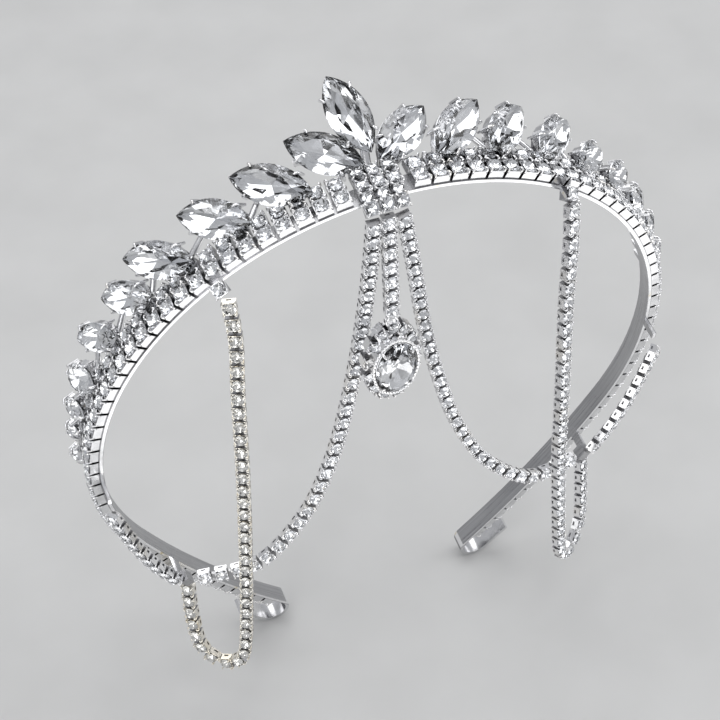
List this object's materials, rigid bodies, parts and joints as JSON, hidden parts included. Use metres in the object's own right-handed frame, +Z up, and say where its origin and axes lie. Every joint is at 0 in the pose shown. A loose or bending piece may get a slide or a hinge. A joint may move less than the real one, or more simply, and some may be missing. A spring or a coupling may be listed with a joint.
{
  "type": "crystal headband",
  "caption": "Curved headband with rows of stones, a spray and side stones in claw settings, forehead chains and a hanging drop.",
  "frame": {"origin": "middle of the inner face of the band at its top, where it rests on the hair", "axes": "+Z up, -Y to the front of the wearer, +X to the left hand of the wearer, who faces -Y"},
  "size_m": [0.1408, 0.0347, 0.1673],
  "materials": {
    "metal": "bright silver plate, brushed on the inner face",
    "crystal": "clear cut glass with a silvered back",
    "chain": "clear stones in bright silver cups"
  },
  "bodies": {
    "headband": {"band": "metal", "spray_stone_mid": "crystal", "spray_stone_left": "crystal", "spray_stone_right": "crystal", "left_stone_1": "crystal", "left_stone_2": "crystal", "left_stone_3": "crystal", "left_stone_4": "crystal", "left_stone_5": "crystal", "left_stone_6": "crystal", "left_stone_7": "crystal", "left_stone_8": "crystal", "left_stone_9": "crystal", "right_stone_1": "crystal", "right_stone_2": "crystal", "right_stone_3": "crystal", "right_stone_4": "crystal", "right_stone_5": "crystal", "right_stone_6": "crystal", "right_stone_7": "crystal", "right_stone_8": "crystal", "centre_strand": "chain", "left_swag": "chain", "right_swag": "chain", "left_side_strand": "chain", "right_side_strand": "chain"},
    "drop": {"drop_setting": "metal", "drop_stone": "crystal"}
  },
  "joints": [
    {"name": "drop_hinge", "type": "hinge", "parent": "headband", "child": "drop", "pos_m": [-0.0023, -0.0044, -0.03005], "axis": [1, 0, 0], "range_deg": [-45, 6]}
  ]
}
